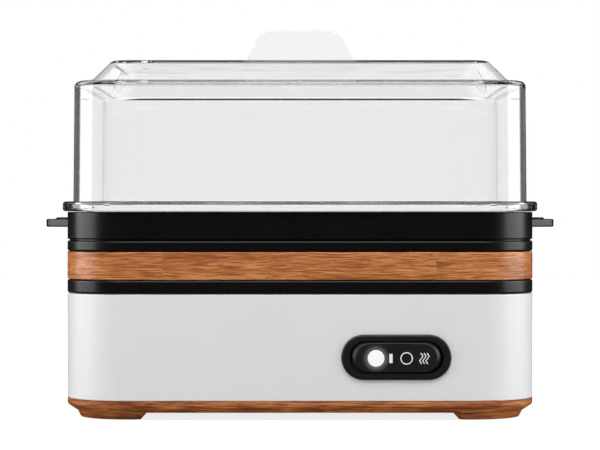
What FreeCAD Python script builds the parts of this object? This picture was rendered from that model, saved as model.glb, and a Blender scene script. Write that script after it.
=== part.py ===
"""Electric egg cooker for six eggs, in millimetres, standing on its feet.

+X is to the right, +Y to the back, +Z up.  The origin is on the table, under the middle of the body.
A wood-look base cover with four feet closes a white housing.  On the housing stand a lower trim ring, a
wood-look band and an upper trim ring that clamps the rim of the heating tray.  The egg holder rests on
the upper trim ring and the clear lid rests on the egg holder, so both lift off.  A three-position rocker
with a round lamp lens is in the front.  Heater, thermostats, fuse, board and leads are under the tray.
"""
import FreeCAD, Part
import math
import os

Vec = FreeCAD.Vector

# ---- outside of the body: half width, half depth, corner radius ---------------------------------------
BODY = (103.0, 72.0, 27.0)

# ---- heights of the stacked pieces --------------------------------------------------------------------
FOOT_BOTTOM = 0.2                 # the rubber pads stand out of the feet by this much
COVER_BOTTOM = 3.3                # underside of the base cover between its feet
COVER_FLOOR = 5.8                 # inside floor, level with the foot of the cover's upright edge
COVER_TOP = 8.5
HOUSING_TOP = 54.6
LOWER_RING_TOP = 60.6
BAND_TOP = 72.9
UPPER_RING_TOP = 77.7
HOLDER_BOTTOM = 78.3
HOLDER_TOP = 90.4
LID_BOTTOM = 90.6
FLANGE_TOP = 94.9
SHOULDER_Z = 147.7                # outside of the lid's shoulder
ROOF_Z = 157.2                    # outside of the lid's raised roof
TAB_TOP = 174.9

# ---- walls and fits -----------------------------------------------------------------------------------
COVER_CHAMFER = 3.8
COVER_EDGE = 1.8                  # round edge between the cover's side and its chamfer
HOUSING_WALL = 2.2
BAND_WALL = 2.3
RING_GAP = 0.2                    # shadow gap between stacked rings
RING_ROUND = 0.8
RING_BORE = 4.3                   # how far both trim rings reach in from the body's outside
CHASSIS_INSET = 4.6
CHASSIS_WALL = 2.0
HOLDER_WALL = 2.6
LID_WALL = 2.2

# ---- lid outlines -------------------------------------------------------------------------------------
LID_FOOT = (99.9, 68.9, 18.0)
LID_SHOULDER = (99.4, 68.4, 17.5)
LID_FLANGE = (105.1, 74.1, 29.0)
ROOF_FOOT = (92.55, 61.55, 13.0)
ROOF_TOP = (83.4, 52.4, 8.0)
TAB_BASE_HALF = 26.1
TAB_SLOPE = math.radians(24)
TAB_SHOULDER = 9.5
TAB_THICKNESS = 2.6
STEAM_HOLES = [(-70.0, -14.0), (-70.0, 14.0)]
STEAM_HOLE_RADIUS = 2.25

# ---- egg holder ---------------------------------------------------------------------------------------
EGG_PITCH = 62.0
EGG_BORE = 19.5
SEAT_WALL = 2.6
SEAT_BOTTOM = 81.0
SEAT_TOP = 88.6
DECK_BOTTOM = 84.0
DECK_TOP = 86.0
GRIP_ROOT_DEPTH = 31.5            # half the grip's depth at the rim and at its end
GRIP_END_DEPTH = 18.0
GRIP_END_X = 116.1
GRIP_BOTTOM = 83.5
GRIP_TOP = 87.1
RIDGE_X = (106.8, 111.0)
RIDGE_RADIUS = 0.85

# ---- switch, with half lengths and half heights of its stadium outlines --------------------------------
SWITCH_X = 41.5
SWITCH_Z = 27.6
BEZEL = (23.75, 9.8)
BEZEL_OPENING = (20.35, 7.02)
BEZEL_COLLAR = (21.7, 8.4)
BEZEL_PROUD = 1.4
COLLAR_END_Y = -64.0
ROCKER_FACE = (17.4, 6.1)
ROCKER_SHOULDER = (19.3, 6.6)
ROCKER_BACK = (19.9, 6.7)
ROCKER_TIP_Y = -74.0
ROCKER_SHOULDER_Y = -72.6
ROCKER_PIVOT_Y = -66.0
ROCKER_DISH = 0.8
PIN_RADIUS = 1.0
FACE_Z = SWITCH_Z - 0.4            # middle of the rocker's face and of its lens
LENS_X = 32.7
LENS_RADIUS = 3.6
CASE_BACK_Y = -46.0
SWITCH_BLADES = {"lamp": -15.0, "cook": -5.0, "warm": 5.0, "live": 15.0}

# ---- heater -------------------------------------------------------------------------------------------
TRAY_RIM_TOP = 75.0
TRAY_FLOOR = 60.0
TRAY_SHEET = 1.0
TRAY_MOUTH = (92.5, 61.5, 18.0)
TRAY_BASE = (89.0, 58.0, 15.0)
SPREADER = (70.0, 38.0, 20.0)
SPREADER_BOTTOM = 56.6
PLATE_BOTTOM = 55.8               # underside of the sheet pieces screwed to the spreader
ELEMENT_RADIUS = 3.25
ELEMENT_Z = SPREADER_BOTTOM - ELEMENT_RADIUS - 0.05
ELEMENT_LOOP = (58.0, 27.0)
ELEMENT_END_X = 9.0
ELEMENT_END_Y = 40.0
THERMOSTATS = {"cook": (-24.0, 0.0), "warm": (24.0, 0.0)}
THERMOSTAT_BOTTOM = 46.8
THERMOSTAT_SCREW_REACH = 12.0
BLADE_REACH = 4.0                 # contact blades, out from the thermostat's middle
FUSE_Y = -19.0
FUSE_Z = 53.9
CLIP_SCREW = (0.0, -9.0)
EARTH_SCREW = (0.0, 12.0)
EARTH_BARREL_Z = 54.6

# ---- floor: screws, board, terminal block, gland ---------------------------------------------------------
SCREW_AT = (84.0, 53.0)           # base screws, pads and chassis bosses, one in each quarter
BOSS_BOTTOM = 12.1
BOARD_AT = (-52.0, -38.0)
BOARD_Z = 15.0
BOARD_SHEET = 1.6
BOARD_POSTS = [(-70.0, -38.0), (-34.0, -38.0)]
BLOCK_AT = (58.0, 34.0)
BLOCK_POLES = {"earth": -9.0, "neutral": 0.0, "live": 9.0}
BLOCK_BORE_Z = COVER_FLOOR + 5.5
GLAND_X = 60.0
GLAND_Z = 22.0
GLAND_BORE = 3.6
LEAD_RADIUS = 1.3
BARREL_BORE = 1.35                # inside of a crimped barrel on a lead
SPLICE_AT = (0.0, 26.0)
SPLICE_BOTTOM = 12.0

NEAR = 1e-3
QUARTERS = [(1, 1), (-1, 1), (-1, -1), (1, -1)]


# ---- outlines and solids ------------------------------------------------------------------------------
def inset(outline, by):
    """The outline moved in by a distance on every side, with its corner arcs kept concentric."""
    half_x, half_y, corner = outline
    return (half_x - by, half_y - by, corner - by)


def corner_wire(low, high, radii, z):
    """A rectangle from low to high, flat at z.  radii are for its corners (+,+), (-,+), (-,-), (+,-)."""
    (x0, y0), (x1, y1) = low, high
    r_a, r_b, r_c, r_d = radii

    def arc(centre_x, centre_y, radius, start):
        angles = [math.radians(start + turn) for turn in (0, 45, 90)]
        points = [Vec(centre_x + radius * math.cos(a), centre_y + radius * math.sin(a), z) for a in angles]
        return Part.Arc(*points).toShape()

    return Part.Wire([
        Part.makeLine(Vec(x1, y0 + r_d, z), Vec(x1, y1 - r_a, z)),
        arc(x1 - r_a, y1 - r_a, r_a, 0),
        Part.makeLine(Vec(x1 - r_a, y1, z), Vec(x0 + r_b, y1, z)),
        arc(x0 + r_b, y1 - r_b, r_b, 90),
        Part.makeLine(Vec(x0, y1 - r_b, z), Vec(x0, y0 + r_c, z)),
        arc(x0 + r_c, y0 + r_c, r_c, 180),
        Part.makeLine(Vec(x0 + r_c, y0, z), Vec(x1 - r_d, y0, z)),
        arc(x1 - r_d, y0 + r_d, r_d, 270),
    ])


def outline_wire(outline, z):
    half_x, half_y, corner = outline
    return corner_wire((-half_x, -half_y), (half_x, half_y), [corner] * 4, z)


def slab(outline, z0, z1):
    """A rounded rectangle centred on the Z axis, between two heights."""
    return Part.Face(outline_wire(outline, z0)).extrude(Vec(0, 0, z1 - z0))


def taper(outline0, z0, outline1, z1):
    """A slab whose outline changes evenly from one height to the other."""
    return Part.makeLoft([outline_wire(outline0, z0), outline_wire(outline1, z1)], True, True)


def soften(shape, radius, *heights):
    """Rounds every edge that lies level at one of the heights."""
    edges = []
    for edge in shape.Edges:
        box = edge.BoundBox
        if any(abs(box.ZMin - z) < NEAR and abs(box.ZMax - z) < NEAR for z in heights):
            edges.append(edge)
    return shape.makeFillet(radius, edges)


def soften_front(shape, radius, y):
    """Rounds every edge that lies wholly in front of y."""
    return shape.makeFillet(radius, [e for e in shape.Edges if e.BoundBox.YMax < y + NEAR])


def ring(outline, wall, z0, z1):
    return slab(outline, z0, z1).cut(slab(inset(outline, wall), z0, z1))


def soft_ring(outline, wall, z0, z1, radius):
    """A ring whose two outside edges are rounded."""
    return soften(slab(outline, z0, z1), radius, z0, z1).cut(slab(inset(outline, wall), z0, z1))


def block(x0, x1, y0, y1, z0, z1):
    return Part.makeBox(x1 - x0, y1 - y0, z1 - z0, Vec(x0, y0, z0))


def upright(x, y, radius, z0, z1):
    """A cylinder along Z."""
    return Part.makeCylinder(radius, z1 - z0, Vec(x, y, z0))


def lengthwise(x, z, radius, y0, y1):
    """A cylinder along Y."""
    return Part.makeCylinder(radius, y1 - y0, Vec(x, y0, z), Vec(0, 1, 0))


def crosswise(y, z, radius, x0, x1):
    """A cylinder along X."""
    return Part.makeCylinder(radius, x1 - x0, Vec(x0, y, z), Vec(1, 0, 0))


def stadium_wire(size, y):
    """A round-ended outline at the switch, long in X, in the plane at y."""
    half_length, half_height = size
    left = SWITCH_X - half_length + half_height
    right = SWITCH_X + half_length - half_height
    top, bottom = SWITCH_Z + half_height, SWITCH_Z - half_height
    right_end = Vec(SWITCH_X + half_length, y, SWITCH_Z)
    left_end = Vec(SWITCH_X - half_length, y, SWITCH_Z)
    return Part.Wire([
        Part.makeLine(Vec(left, y, bottom), Vec(right, y, bottom)),
        Part.Arc(Vec(right, y, bottom), right_end, Vec(right, y, top)).toShape(),
        Part.makeLine(Vec(right, y, top), Vec(left, y, top)),
        Part.Arc(Vec(left, y, top), left_end, Vec(left, y, bottom)).toShape(),
    ])


def stadium(size, y0, y1):
    return Part.Face(stadium_wire(size, y0)).extrude(Vec(0, y1 - y0, 0))


def fuse(first, *others):
    return first.multiFuse(list(others)).removeSplitter()


def cut_all(shape, cutters):
    for cutter in cutters:
        shape = shape.cut(cutter)
    return shape


def group(shapes):
    """Separate solids that share one node."""
    return Part.Compound(list(shapes))


def in_quarters(shape):
    """A shape made for the (+X, +Y) quarter, in all four quarters."""
    made = []
    for sign_x, sign_y in QUARTERS:
        piece = shape.copy()
        if sign_x < 0:
            piece = piece.mirror(Vec(0, 0, 0), Vec(1, 0, 0))
        if sign_y < 0:
            piece = piece.mirror(Vec(0, 0, 0), Vec(0, 1, 0))
        made.append(piece)
    return made


def egg_seats():
    """The middles of the six egg seats."""
    return [(column * EGG_PITCH, row * EGG_PITCH / 2) for row in (-1, 1) for column in (-1, 0, 1)]


def bent_tube(points, bends, radius):
    """A round tube along straight runs joined by tangent arcs, with one bend radius for each inner point."""
    runs = [Vec(*point) for point in points]
    edges = []
    start = runs[0]
    for index, bend in enumerate(bends, start=1):
        corner = runs[index]
        back = (runs[index - 1] - corner).normalize()
        ahead = (runs[index + 1] - corner).normalize()
        half_turn = (math.pi - back.getAngle(ahead)) / 2
        reach = bend * math.tan(half_turn)
        first = corner + back * reach
        last = corner + ahead * reach
        middle = corner + (back + ahead).normalize() * (bend / math.cos(half_turn) - bend)
        edges.append(Part.LineSegment(start, first).toShape())
        edges.append(Part.Arc(first, middle, last).toShape())
        start = last
    edges.append(Part.LineSegment(start, runs[-1]).toShape())
    path = Part.Wire(edges)
    section = Part.Wire([Part.makeCircle(radius, runs[0], (runs[1] - runs[0]).normalize())])
    tube = path.makePipeShell([section], True, True)
    expected = math.pi * radius ** 2 * path.Length
    if abs(tube.Volume / expected - 1) > 0.01:
        raise ValueError(f"tube volume {tube.Volume:.1f} is not its section times its length {expected:.1f}")
    return tube


def lead(*points):
    """An insulated lead whose bends are as large as the shorter run beside each of them allows."""
    runs = [Vec(*point) for point in points]
    bends = []
    for before, at, after in zip(runs, runs[1:], runs[2:]):
        half_turn = (math.pi - (before - at).getAngle(after - at)) / 2
        shorter = min((before - at).Length, (after - at).Length)
        bends.append(0.45 * shorter / math.tan(half_turn))
    return bent_tube(points, bends, LEAD_RADIUS)


def screw(x, y, seat_z, length, shank, head, head_height):
    """A pan-head screw driven upwards, its head just under seat_z and cross-slotted."""
    body = fuse(
        upright(x, y, head, seat_z - head_height, seat_z),
        upright(x, y, shank, seat_z, seat_z + length),
    )
    low = seat_z - head_height
    arm, half_slot, depth = head * 0.6, 0.35, head_height * 0.4
    body = body.cut(block(x - arm, x + arm, y - half_slot, y + half_slot, low, low + depth))
    return body.cut(block(x - half_slot, x + half_slot, y - arm, y + arm, low, low + depth))


# ---- base and housing ---------------------------------------------------------------------------------
def base_cover():
    """Wood-look bottom with a chamfered edge, four feet, a spigot inside the housing and board posts."""
    spigot_top = COVER_TOP + 3.5
    skirt = inset(BODY, COVER_CHAMFER)
    outer = soften(fuse(
        taper(skirt, COVER_BOTTOM, BODY, COVER_FLOOR),
        slab(BODY, COVER_FLOOR, COVER_TOP),
        slab(inset(BODY, HOUSING_WALL + 0.3), COVER_TOP, spigot_top),
    ), COVER_EDGE, COVER_FLOOR)
    shell = outer.cut(slab(inset(BODY, CHASSIS_INSET - 0.5), COVER_FLOOR, spigot_top))
    x, y = SCREW_AT
    seat = upright(x, y, 4.5, COVER_FLOOR, BOSS_BOTTOM - 0.1)
    shell = fuse(shell, *in_quarters(foot()), *in_quarters(seat))
    pad_recess = upright(x, y, 7.2, 0, 1.7)
    head_recess = upright(x, y, 3.5, 0, 5.2)
    screw_hole = upright(x, y, 1.7, 0, BOSS_BOTTOM)
    shell = cut_all(shell, in_quarters(fuse(pad_recess, head_recess, screw_hole)))
    posts = [upright(px, py, 3.0, COVER_FLOOR, BOARD_Z) for px, py in BOARD_POSTS]
    shell = fuse(shell, *posts)
    return cut_all(shell, [upright(px, py, 1.3, 7.0, BOARD_Z) for px, py in BOARD_POSTS])


def foot():
    """A foot that follows the corner of the cover and narrows downwards."""
    skirt = inset(BODY, COVER_CHAMFER)
    top_x, top_y, top_corner = inset(skirt, 0.5)
    sole_x, sole_y, sole_corner = inset(skirt, 2.1)
    top = corner_wire((66.3, 36.3), (top_x, top_y), [top_corner, 4, 4, 4], COVER_BOTTOM)
    sole = corner_wire((69.2, 39.2), (sole_x, sole_y), [sole_corner, 3, 3, 3], FOOT_BOTTOM)
    return Part.makeLoft([sole, top], True, True)


def foot_pads():
    x, y = SCREW_AT
    return in_quarters(soften(upright(x, y, 7.0, 0, 1.6), 0.3, 0))


def base_screws():
    x, y = SCREW_AT
    return group(in_quarters(screw(x, y, 5.2, 16.0, 1.45, 3.1, 2.0)))


def housing():
    """White rounded shell, open above and below, cut for the switch in front and the gland at the back."""
    shell = soft_ring(BODY, HOUSING_WALL, COVER_TOP + 0.1, HOUSING_TOP, 0.5)
    half_length, half_height = BEZEL_COLLAR
    shell = shell.cut(stadium((half_length + 0.2, half_height + 0.2), -BODY[1] - 5, -BODY[1] + 5))
    return shell.cut(lengthwise(GLAND_X, GLAND_Z, 5.4, BODY[1] - 5, BODY[1] + 5))


def chassis():
    """Inner frame: an upright wall, a shelf for the tray and a screw boss on a web in each corner."""
    wall_bottom, shelf_bottom, shelf_top, boss_top = 40.0, 70.0, 72.0, 57.0
    outline = inset(BODY, CHASSIS_INSET)
    wall = ring(outline, CHASSIS_WALL, wall_bottom, shelf_top)
    shelf = ring(outline, 4.9, shelf_bottom, shelf_top)
    x, y = SCREW_AT
    corner_x, corner_y = BODY[0] - BODY[2], BODY[1] - BODY[2]
    web = block(9.0, BODY[2] - CHASSIS_INSET - 1.0, -1.0, 1.0, wall_bottom, boss_top)
    web.rotate(Vec(0, 0, 0), Vec(0, 0, 1), 45)
    web.translate(Vec(corner_x, corner_y, 0))
    corner = upright(x, y, 4.0, BOSS_BOTTOM, boss_top).fuse(web)
    frame = fuse(wall, shelf, *in_quarters(corner))
    return cut_all(frame, in_quarters(upright(x, y, 1.5, BOSS_BOTTOM, BOSS_BOTTOM + 16)))


def lower_trim_ring():
    """Black ring on the housing, with a spigot inside it."""
    bottom, spigot_bottom = HOUSING_TOP + RING_GAP, HOUSING_TOP - 2.6
    outer = soften(slab(BODY, bottom, LOWER_RING_TOP), RING_ROUND, bottom, LOWER_RING_TOP)
    outer = fuse(outer, slab(inset(BODY, HOUSING_WALL + 0.2), spigot_bottom, bottom))
    return outer.cut(slab(inset(BODY, RING_BORE), spigot_bottom, LOWER_RING_TOP))


def wood_band():
    return soft_ring(BODY, BAND_WALL, LOWER_RING_TOP + 0.3, BAND_TOP, 0.3)


def upper_trim_ring():
    """Black ring that clamps the tray's rim; its skirt goes down inside the wood band."""
    bottom, skirt_bottom = BAND_TOP + RING_GAP, LOWER_RING_TOP + 0.4
    outer = soften(slab(BODY, bottom, UPPER_RING_TOP), RING_ROUND, bottom, UPPER_RING_TOP)
    outer = fuse(outer, slab(inset(BODY, BAND_WALL + 0.3), skirt_bottom, bottom))
    outer = outer.cut(slab(inset(BODY, RING_BORE), skirt_bottom, TRAY_RIM_TOP))
    return outer.cut(slab(inset(BODY, 8.0), skirt_bottom, UPPER_RING_TOP))


# ---- heating tray and heater --------------------------------------------------------------------------
def heating_tray():
    """Drawn sheet tray that holds the water, with a flat rim."""
    rim_bottom = TRAY_RIM_TOP - TRAY_SHEET
    outer_base = inset(TRAY_BASE, -TRAY_SHEET)
    outer_mouth = inset(TRAY_MOUTH, -TRAY_SHEET)
    outer = fuse(
        slab(inset(BODY, CHASSIS_INSET + 0.2), rim_bottom, TRAY_RIM_TOP),
        taper(outer_base, TRAY_FLOOR - TRAY_SHEET, outer_mouth, rim_bottom),
    )
    return outer.cut(soften(taper(TRAY_BASE, TRAY_FLOOR, TRAY_MOUTH, TRAY_RIM_TOP), 3.0, TRAY_FLOOR))


def tray_seal():
    """Silicone ring between the chassis shelf and the tray's rim."""
    return ring(inset(BODY, CHASSIS_INSET + 0.4), 3.8, 72.0, TRAY_RIM_TOP - TRAY_SHEET)


def spreader_screw_places():
    places = [CLIP_SCREW, EARTH_SCREW]
    for x, y in THERMOSTATS.values():
        places += [(x, y - THERMOSTAT_SCREW_REACH), (x, y + THERMOSTAT_SCREW_REACH)]
    return places


def heat_spreader():
    """Aluminium plate on the underside of the tray, with a blind hole for each small screw."""
    plate = slab(SPREADER, SPREADER_BOTTOM, TRAY_FLOOR - TRAY_SHEET)
    return cut_all(plate, [upright(x, y, 1.55, SPREADER_BOTTOM, 58.6) for x, y in spreader_screw_places()])


def spreader_screws():
    """Small screws that hold the thermostat plates, the fuse clip and the earth tag."""
    return group([screw(x, y, PLATE_BOTTOM, 2.6, 1.4, 2.7, 1.7) for x, y in spreader_screw_places()])


def heating_element():
    """Sheathed tube bent to a loop under the spreader, with both ends at the back."""
    loop_x, loop_y = ELEMENT_LOOP
    half = [(loop_x, -loop_y), (loop_x, loop_y), (ELEMENT_END_X, loop_y), (ELEMENT_END_X, ELEMENT_END_Y)]
    plan = [(-x, y) for x, y in reversed(half)] + half
    corner, end_bend = 16, 9
    bends = [end_bend] + [corner] * 4 + [end_bend]
    return bent_tube([(x, y, ELEMENT_Z) for x, y in plan], bends, ELEMENT_RADIUS)


def element_bushes():
    """Ceramic end pieces of the heating element."""
    made = []
    for x in (-ELEMENT_END_X, ELEMENT_END_X):
        bush = lengthwise(x, ELEMENT_Z, 2.9, ELEMENT_END_Y, ELEMENT_END_Y + 4.5)
        made.append(bush.cut(lengthwise(x, ELEMENT_Z, 1.25, ELEMENT_END_Y, ELEMENT_END_Y + 4.5)))
    return group(made)


def element_pins():
    """Cold pins of the element, flattened at the end to take a push-on connector."""
    made = []
    y = ELEMENT_END_Y
    for x in (-ELEMENT_END_X, ELEMENT_END_X):
        pin = lengthwise(x, ELEMENT_Z, 1.2, y, y + 7.1)
        blade = block(x - 3.1, x + 3.1, y + 7, y + 14, ELEMENT_Z - 0.4, ELEMENT_Z + 0.4)
        made.append(pin.fuse(blade))
    return group(made)


def thermostat(x, y):
    """Round snap-action thermostat, cap up against the spreader."""
    body = upright(x, y, 8.0, THERMOSTAT_BOTTOM, PLATE_BOTTOM - 0.1)
    body = body.makeChamfer(0.6, [e for e in body.Edges if e.BoundBox.ZMax < THERMOSTAT_BOTTOM + NEAR])
    return fuse(body, upright(x, y, 6.4, PLATE_BOTTOM - 0.1, SPREADER_BOTTOM))


def thermostat_plates():
    """Steel plates that hold the thermostats up, each with a hole for the cap and two for screws."""
    made = []
    reach = THERMOSTAT_SCREW_REACH
    for x, y in THERMOSTATS.values():
        plate = fuse(
            block(x - 4, x + 4, y - reach, y + reach, PLATE_BOTTOM, SPREADER_BOTTOM),
            upright(x, y, 9.0, PLATE_BOTTOM, SPREADER_BOTTOM),
            upright(x, y - reach, 4.0, PLATE_BOTTOM, SPREADER_BOTTOM),
            upright(x, y + reach, 4.0, PLATE_BOTTOM, SPREADER_BOTTOM),
        )
        for hole_y, radius in ((y, 6.5), (y - reach, 1.6), (y + reach, 1.6)):
            plate = plate.cut(upright(x, hole_y, radius, PLATE_BOTTOM, SPREADER_BOTTOM))
        made.append(plate)
    return group(made)


def thermostat_blades():
    """Push-on contact blades, two under each thermostat."""
    made = []
    for x, y in THERMOSTATS.values():
        for blade_x in (x - BLADE_REACH, x + BLADE_REACH):
            made.append(block(blade_x - 0.4, blade_x + 0.4, y - 3.1, y + 3.1, 39.0, THERMOSTAT_BOTTOM))
    return group(made)


def thermal_fuse():
    """Axial fuse link lying along X, with its two wire tails."""
    return fuse(crosswise(FUSE_Y, FUSE_Z, 2.1, -7, 7), crosswise(FUSE_Y, FUSE_Z, 0.5, -13, 13))


def fuse_crimps():
    """Crimp sleeves that join the fuse's tails to their leads."""
    made = []
    for x0, x1 in ((9.0, 18.0), (-18.0, -9.0)):
        sleeve = crosswise(FUSE_Y, FUSE_Z, 1.8, x0, x1)
        made.append(sleeve.cut(crosswise(FUSE_Y, FUSE_Z, BARREL_BORE, x0, x1)))
    return group(made)


def fuse_clip():
    """Sheet clip that presses the fuse to the spreader."""
    x, y = CLIP_SCREW
    hoop = crosswise(FUSE_Y, FUSE_Z, 2.9, x - 3, x + 3)
    tongue = block(x - 3, x + 3, FUSE_Y, y + 3, PLATE_BOTTOM, SPREADER_BOTTOM)
    clip = fuse(hoop, tongue).cut(crosswise(FUSE_Y, FUSE_Z, 2.2, x - 3, x + 3))
    clip = clip.cut(block(x - 3, x + 3, FUSE_Y - 4, y + 4, SPREADER_BOTTOM, SPREADER_BOTTOM + 2))
    return clip.cut(upright(x, y, 1.6, PLATE_BOTTOM, SPREADER_BOTTOM))


def earth_tag():
    """Ring tag of the earth lead, under its screw."""
    x, y = EARTH_SCREW
    tag = fuse(
        upright(x, y, 4.0, PLATE_BOTTOM, SPREADER_BOTTOM),
        block(x - 2.0, x + 2.0, y, y + 9, PLATE_BOTTOM, SPREADER_BOTTOM),
        lengthwise(x, EARTH_BARREL_Z, 1.9, y + 8, y + 13),
    )
    tag = tag.cut(upright(x, y, 1.6, PLATE_BOTTOM, SPREADER_BOTTOM))
    return tag.cut(lengthwise(x, EARTH_BARREL_Z, BARREL_BORE, y + 9, y + 13))


# ---- board, terminal block and gland ------------------------------------------------------------------
def control_board():
    x, y = BOARD_AT
    board = block(x - 22, x + 22, y - 14, y + 14, BOARD_Z, BOARD_Z + BOARD_SHEET)
    return cut_all(board, [upright(px, py, 1.5, BOARD_Z, BOARD_Z + BOARD_SHEET) for px, py in BOARD_POSTS])


def board_screws():
    made = []
    top = BOARD_Z + BOARD_SHEET
    for x, y in BOARD_POSTS:
        made.append(fuse(upright(x, y, 2.4, top, top + 1.6), upright(x, y, 1.2, 8.0, top)))
    return group(made)


def buzzer():
    x, y = BOARD_AT
    bottom = BOARD_Z + BOARD_SHEET
    sound_hole = upright(x - 8, y - 6, 1.0, bottom + 6, bottom + 9)
    return upright(x - 8, y - 6, 6.0, bottom, bottom + 9).cut(sound_hole)


def board_components():
    """Capacitor, dropper resistor, rectifier diode and the header that takes the lamp lead."""
    x, y = BOARD_AT
    top = BOARD_Z + BOARD_SHEET
    header = block(x + 11, x + 17, y + 5, y + 12, top, top + 7)
    header = header.cut(upright(x + 14, y + 8.5, BARREL_BORE, top + 3, top + 7))
    capacitor = upright(x + 4, y - 8, 4.0, top, top + 12)
    resistor = crosswise(y + 8, top + 2.0, 2.0, x - 10, x + 1)
    diode = crosswise(y - 1, top + 1.3, 1.3, x - 1, x + 4)
    return group([capacitor, resistor, diode, header])


def terminal_block():
    """Three-pole terminal block on the floor, with wire and screw holes."""
    x, y = BLOCK_AT
    top = COVER_FLOOR + 13
    body = block(x - 14, x + 14, y - 8, y + 8, COVER_FLOOR, top)
    for pole in BLOCK_POLES.values():
        body = body.cut(lengthwise(x + pole, BLOCK_BORE_Z, 1.7, y - 8, y + 8))
        body = cut_all(body, [upright(x + pole, y + side, 1.8, BLOCK_BORE_Z, top) for side in (-4, 4)])
    return body


def terminal_screws():
    x, y = BLOCK_AT
    low, high = BLOCK_BORE_Z + 1.8, BLOCK_BORE_Z + 6.0
    made = []
    for pole in BLOCK_POLES.values():
        for side in (-4, 4):
            slot = block(x + pole - 2, x + pole + 2, y + side - 0.3, y + side + 0.3, high - 1, high)
            made.append(upright(x + pole, y + side, 1.6, low, high).cut(slot))
    return group(made)


def cord_gland():
    """Bush in the back of the housing that a mains lead comes through."""
    wall_y = BODY[1]
    collar = soften_back(lengthwise(GLAND_X, GLAND_Z, 8.0, wall_y, wall_y + 2), 0.9, wall_y + 2)
    bush = fuse(lengthwise(GLAND_X, GLAND_Z, 5.2, wall_y - 9, wall_y), collar)
    return bush.cut(lengthwise(GLAND_X, GLAND_Z, GLAND_BORE, wall_y - 9, wall_y + 2))


def soften_back(shape, radius, y):
    """Rounds every edge that lies wholly at or behind y."""
    return shape.makeFillet(radius, [e for e in shape.Edges if e.BoundBox.YMin > y - NEAR])


def gland_nut():
    """Hexagonal nut inside the housing wall."""
    across_corners, thickness = 8.5, 4.0
    front_y = BODY[1] - HOUSING_WALL - thickness
    angles = [math.radians(turn) for turn in range(0, 420, 60)]
    corners = [Vec(GLAND_X + across_corners * math.cos(a), front_y, GLAND_Z + across_corners * math.sin(a))
               for a in angles]
    nut = Part.Face(Part.makePolygon(corners)).extrude(Vec(0, thickness, 0))
    return nut.cut(lengthwise(GLAND_X, GLAND_Z, 5.25, front_y, front_y + thickness))


# ---- switch -------------------------------------------------------------------------------------------
def switch_bezel():
    """Round-ended frame with a collar through the housing."""
    front_y = -BODY[1] - BEZEL_PROUD
    plate = soften_front(stadium(BEZEL, front_y, -BODY[1]), 0.9, front_y)
    frame = fuse(plate, stadium(BEZEL_COLLAR, -BODY[1], COLLAR_END_Y))
    frame = frame.cut(stadium(BEZEL_OPENING, front_y, COLLAR_END_Y))
    return frame.cut(upright(SWITCH_X, ROCKER_PIVOT_Y, PIN_RADIUS + 0.03, SWITCH_Z - 8, SWITCH_Z + 8))


def rocker_pin():
    return upright(SWITCH_X, ROCKER_PIVOT_Y, PIN_RADIUS, SWITCH_Z - 8, SWITCH_Z + 8)


def switch_rocker():
    """Rocker with a hollow face between sloping ends, narrower in front so that it can tilt."""
    face = stadium_wire(ROCKER_FACE, ROCKER_TIP_Y)
    face.translate(Vec(0, 0, FACE_Z - SWITCH_Z))
    shoulder = stadium_wire(ROCKER_SHOULDER, ROCKER_SHOULDER_Y)
    back = stadium_wire(ROCKER_BACK, ROCKER_PIVOT_Y)
    paddle = Part.makeLoft([face, shoulder], True, True).fuse(Part.makeLoft([shoulder, back], True, True))
    dish_radius = (ROCKER_FACE[0] ** 2 + ROCKER_DISH ** 2) / (2 * ROCKER_DISH)
    dish_y = ROCKER_TIP_Y + ROCKER_DISH - dish_radius
    paddle = paddle.cut(upright(SWITCH_X, dish_y, dish_radius, SWITCH_Z - 10, SWITCH_Z + 10))
    paddle = soften_front(paddle, 0.5, ROCKER_TIP_Y + ROCKER_DISH + 0.05)
    hub = block(SWITCH_X - 6, SWITCH_X + 6, ROCKER_PIVOT_Y, -61.5, SWITCH_Z - 6, SWITCH_Z + 6)
    nib = block(SWITCH_X - 1.5, SWITCH_X + 1.5, -61.5, -57.5, SWITCH_Z - 3, SWITCH_Z + 3)
    lens_seat_y = ROCKER_TIP_Y + 3.0
    cutters = [
        upright(SWITCH_X, ROCKER_PIVOT_Y, PIN_RADIUS + 0.07, SWITCH_Z - 8, SWITCH_Z + 8),
        lengthwise(LENS_X, FACE_Z, LENS_RADIUS + 0.02, ROCKER_TIP_Y, lens_seat_y),
        lengthwise(LENS_X, FACE_Z, 2.6, lens_seat_y, ROCKER_PIVOT_Y),
    ]
    return cut_all(fuse(paddle, hub, nib), cutters)


def indicator_lens():
    """Round lamp lens set in the left of the rocker."""
    front_y = ROCKER_TIP_Y + 0.25
    return soften_front(lengthwise(LENS_X, FACE_Z, LENS_RADIUS, front_y, ROCKER_TIP_Y + 3.0), 0.35, front_y)


def switch_body():
    """Moulded switch case behind the collar, open to the front."""
    half_length, half_height, front_wall_y = 21.6, 8.2, -54.0
    outer = block(SWITCH_X - half_length, SWITCH_X + half_length, COLLAR_END_Y, CASE_BACK_Y,
                  SWITCH_Z - half_height, SWITCH_Z + half_height)
    hollow = block(SWITCH_X - half_length + 1.2, SWITCH_X + half_length - 1.2, COLLAR_END_Y, front_wall_y,
                   SWITCH_Z - half_height + 1.0, SWITCH_Z + half_height - 1.0)
    return outer.cut(hollow).cut(lengthwise(LENS_X, SWITCH_Z, 1.55, front_wall_y, -51.0))


def switch_lamp():
    """Lamp behind the lens."""
    return soften_front(lengthwise(LENS_X, SWITCH_Z, 1.5, -59.5, -51.0), 1.2, -59.5)


def switch_blades():
    """Contact blades on the back of the switch."""
    made = []
    for reach in SWITCH_BLADES.values():
        x = SWITCH_X + reach
        made.append(block(x - 0.4, x + 0.4, CASE_BACK_Y, CASE_BACK_Y + 8, SWITCH_Z - 3.1, SWITCH_Z + 3.1))
    return group(made)


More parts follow.
